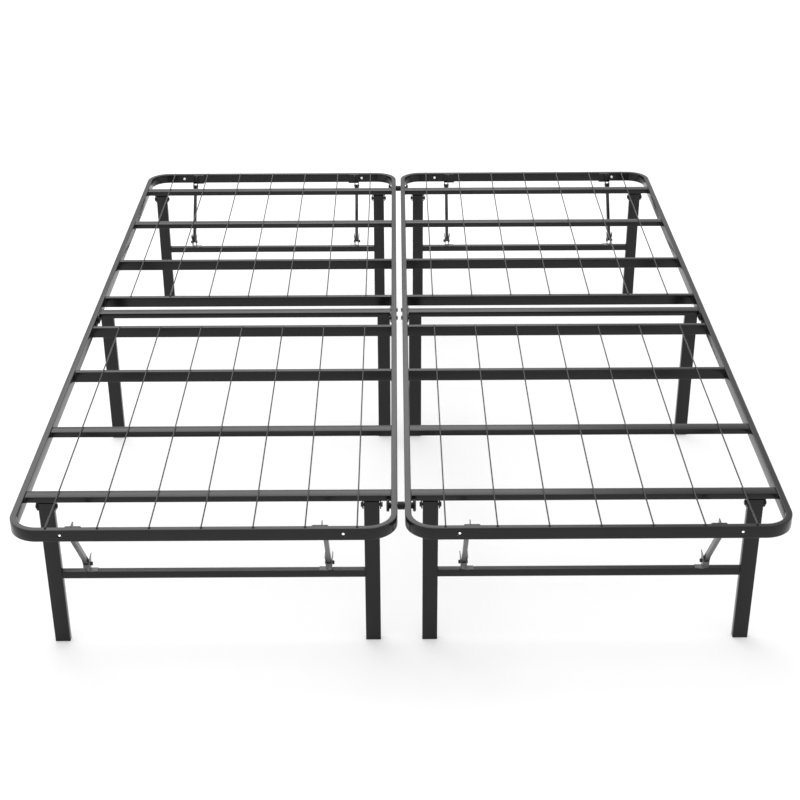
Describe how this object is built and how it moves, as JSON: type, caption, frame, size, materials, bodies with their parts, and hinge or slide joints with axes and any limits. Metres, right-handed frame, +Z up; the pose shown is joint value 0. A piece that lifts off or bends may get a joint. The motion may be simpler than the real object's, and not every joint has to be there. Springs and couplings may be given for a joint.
{
  "type": "folding platform bed frame",
  "caption": "Black folding metal platform bed frame in two halves, with slats and wires for a deck and leg frames that fold under it.",
  "frame": {"origin": "on the floor, under the middle of the bed", "axes": "+Z up, +X to the right and -Y toward the foot end, seen from the foot end"},
  "size_m": [1.517, 2.019, 0.3589],
  "materials": {
    "black_powder_coat": "semi-gloss black powder coat on steel tube",
    "blackened_steel": "black-oxide steel bolts",
    "black_plastic": "moulded black plastic"
  },
  "bodies": {
    "bed_base": {"mid_left_legs": "black_powder_coat", "mid_left_inner_hinge_plate": "black_powder_coat", "mid_left_inner_front_hinge_bolt": "blackened_steel", "mid_left_inner_rear_hinge_bolt": "blackened_steel", "mid_left_outer_hinge_plate": "black_powder_coat", "mid_left_outer_front_hinge_bolt": "blackened_steel", "mid_left_outer_rear_hinge_bolt": "blackened_steel", "mid_right_legs": "black_powder_coat", "mid_right_inner_hinge_plate": "black_powder_coat", "mid_right_inner_front_hinge_bolt": "blackened_steel", "mid_right_inner_rear_hinge_bolt": "blackened_steel", "mid_right_outer_hinge_plate": "black_powder_coat", "mid_right_outer_front_hinge_bolt": "blackened_steel", "mid_right_outer_rear_hinge_bolt": "blackened_steel"},
    "front_deck": {"front_connector_bolt": "black_plastic", "front_left_rail": "black_powder_coat", "front_left_slat_1": "black_powder_coat", "front_left_slat_2": "black_powder_coat", "front_left_slat_3": "black_powder_coat", "front_left_slat_4_and_wires": "black_powder_coat", "front_left_inner_leg_bolt": "blackened_steel", "front_left_outer_leg_bolt": "blackened_steel", "front_right_rail": "black_powder_coat", "front_right_slat_1": "black_powder_coat", "front_right_slat_2": "black_powder_coat", "front_right_slat_3": "black_powder_coat", "front_right_slat_4_and_wires": "black_powder_coat", "front_right_inner_leg_bolt": "blackened_steel", "front_right_outer_leg_bolt": "blackened_steel"},
    "front_left_legs": {"front_left_legs": "black_powder_coat"},
    "front_left_inner_strut": {"front_left_inner_strut": "black_powder_coat"},
    "front_left_outer_strut": {"front_left_outer_strut": "black_powder_coat"},
    "front_left_connector_knob": {"front_left_connector_knob": "black_plastic"},
    "front_right_legs": {"front_right_legs": "black_powder_coat"},
    "front_right_inner_strut": {"front_right_inner_strut": "black_powder_coat"},
    "front_right_outer_strut": {"front_right_outer_strut": "black_powder_coat"},
    "front_right_connector_knob": {"front_right_connector_knob": "black_plastic"},
    "rear_deck": {"rear_connector_bolt": "black_plastic", "rear_left_rail": "black_powder_coat", "rear_left_slat_1": "black_powder_coat", "rear_left_slat_2": "black_powder_coat", "rear_left_slat_3": "black_powder_coat", "rear_left_slat_4_and_wires": "black_powder_coat", "rear_left_inner_leg_bolt": "blackened_steel", "rear_left_outer_leg_bolt": "blackened_steel", "rear_right_rail": "black_powder_coat", "rear_right_slat_1": "black_powder_coat", "rear_right_slat_2": "black_powder_coat", "rear_right_slat_3": "black_powder_coat", "rear_right_slat_4_and_wires": "black_powder_coat", "rear_right_inner_leg_bolt": "blackened_steel", "rear_right_outer_leg_bolt": "blackened_steel"},
    "rear_left_legs": {"rear_left_legs": "black_powder_coat"},
    "rear_left_inner_strut": {"rear_left_inner_strut": "black_powder_coat"},
    "rear_left_outer_strut": {"rear_left_outer_strut": "black_powder_coat"},
    "rear_left_connector_knob": {"rear_left_connector_knob": "black_plastic"},
    "rear_right_legs": {"rear_right_legs": "black_powder_coat"},
    "rear_right_inner_strut": {"rear_right_inner_strut": "black_powder_coat"},
    "rear_right_outer_strut": {"rear_right_outer_strut": "black_powder_coat"},
    "rear_right_connector_knob": {"rear_right_connector_knob": "black_plastic"}
  },
  "joints": [
    {"name": "front_deck_fold", "type": "hinge", "parent": "bed_base", "child": "front_deck", "pos_m": [0, -0.0235, 0.3429], "axis": [1, 0, 0], "range_deg": [0, 88.24]},
    {"name": "front_left_legs_fold", "type": "hinge", "parent": "front_deck", "child": "front_left_legs", "pos_m": [-0.38127, -0.8705, 0.325], "axis": [1, 0, 0], "range_deg": [0, 88.24]},
    {"name": "front_left_inner_strut_swing", "type": "hinge", "parent": "front_deck", "child": "front_left_inner_strut", "pos_m": [-0.14627, -0.9795, 0.325], "axis": [1, 0, 0], "range_deg": [0, 51.49]},
    {"name": "front_left_outer_strut_swing", "type": "hinge", "parent": "front_deck", "child": "front_left_outer_strut", "pos_m": [-0.63628, -0.9795, 0.325], "axis": [1, 0, 0], "range_deg": [0, 51.49]},
    {"name": "front_left_connector_knob_turn", "type": "hinge", "parent": "front_deck", "child": "front_left_connector_knob", "pos_m": [-0.01975, -0.9045, 0.3429], "axis": [1, 0, 0], "continuous": true},
    {"name": "front_right_legs_fold", "type": "hinge", "parent": "front_deck", "child": "front_right_legs", "pos_m": [0.38127, -0.8705, 0.325], "axis": [1, 0, 0], "range_deg": [0, 88.24]},
    {"name": "front_right_inner_strut_swing", "type": "hinge", "parent": "front_deck", "child": "front_right_inner_strut", "pos_m": [0.12627, -0.9795, 0.325], "axis": [1, 0, 0], "range_deg": [0, 51.49]},
    {"name": "front_right_outer_strut_swing", "type": "hinge", "parent": "front_deck", "child": "front_right_outer_strut", "pos_m": [0.61628, -0.9795, 0.325], "axis": [1, 0, 0], "range_deg": [0, 51.49]},
    {"name": "front_right_connector_knob_turn", "type": "hinge", "parent": "front_deck", "child": "front_right_connector_knob", "pos_m": [0.01975, -0.9045, 0.3429], "axis": [1, 0, 0], "continuous": true},
    {"name": "rear_deck_fold", "type": "hinge", "parent": "bed_base", "child": "rear_deck", "pos_m": [0, 0.0235, 0.3429], "axis": [-1, 0, 0], "range_deg": [0, 88.24]},
    {"name": "rear_left_legs_fold", "type": "hinge", "parent": "rear_deck", "child": "rear_left_legs", "pos_m": [-0.38127, 0.8705, 0.325], "axis": [-1, 0, 0], "range_deg": [0, 88.24]},
    {"name": "rear_left_inner_strut_swing", "type": "hinge", "parent": "rear_deck", "child": "rear_left_inner_strut", "pos_m": [-0.12627, 0.9795, 0.325], "axis": [-1, 0, 0], "range_deg": [0, 51.49]},
    {"name": "rear_left_outer_strut_swing", "type": "hinge", "parent": "rear_deck", "child": "rear_left_outer_strut", "pos_m": [-0.61628, 0.9795, 0.325], "axis": [-1, 0, 0], "range_deg": [0, 51.49]},
    {"name": "rear_left_connector_knob_turn", "type": "hinge", "parent": "rear_deck", "child": "rear_left_connector_knob", "pos_m": [-0.01975, 0.9045, 0.3429], "axis": [1, 0, 0], "continuous": true},
    {"name": "rear_right_legs_fold", "type": "hinge", "parent": "rear_deck", "child": "rear_right_legs", "pos_m": [0.38127, 0.8705, 0.325], "axis": [-1, 0, 0], "range_deg": [0, 88.24]},
    {"name": "rear_right_inner_strut_swing", "type": "hinge", "parent": "rear_deck", "child": "rear_right_inner_strut", "pos_m": [0.14627, 0.9795, 0.325], "axis": [-1, 0, 0], "range_deg": [0, 51.49]},
    {"name": "rear_right_outer_strut_swing", "type": "hinge", "parent": "rear_deck", "child": "rear_right_outer_strut", "pos_m": [0.63628, 0.9795, 0.325], "axis": [-1, 0, 0], "range_deg": [0, 51.49]},
    {"name": "rear_right_connector_knob_turn", "type": "hinge", "parent": "rear_deck", "child": "rear_right_connector_knob", "pos_m": [0.01975, 0.9045, 0.3429], "axis": [1, 0, 0], "continuous": true}
  ],
  "couplings": [
    {"joint": "front_left_legs_fold", "follows": "front_deck_fold", "ratio": 1},
    {"joint": "front_left_inner_strut_swing", "follows": "front_deck_fold", "ratio": 0.583},
    {"joint": "front_left_outer_strut_swing", "follows": "front_deck_fold", "ratio": 0.583},
    {"joint": "front_right_legs_fold", "follows": "front_deck_fold", "ratio": 1},
    {"joint": "front_right_inner_strut_swing", "follows": "front_deck_fold", "ratio": 0.583},
    {"joint": "front_right_outer_strut_swing", "follows": "front_deck_fold", "ratio": 0.583},
    {"joint": "rear_left_legs_fold", "follows": "rear_deck_fold", "ratio": 1},
    {"joint": "rear_left_inner_strut_swing", "follows": "rear_deck_fold", "ratio": 0.583},
    {"joint": "rear_left_outer_strut_swing", "follows": "rear_deck_fold", "ratio": 0.583},
    {"joint": "rear_right_legs_fold", "follows": "rear_deck_fold", "ratio": 1},
    {"joint": "rear_right_inner_strut_swing", "follows": "rear_deck_fold", "ratio": 0.583},
    {"joint": "rear_right_outer_strut_swing", "follows": "rear_deck_fold", "ratio": 0.583}
  ]
}
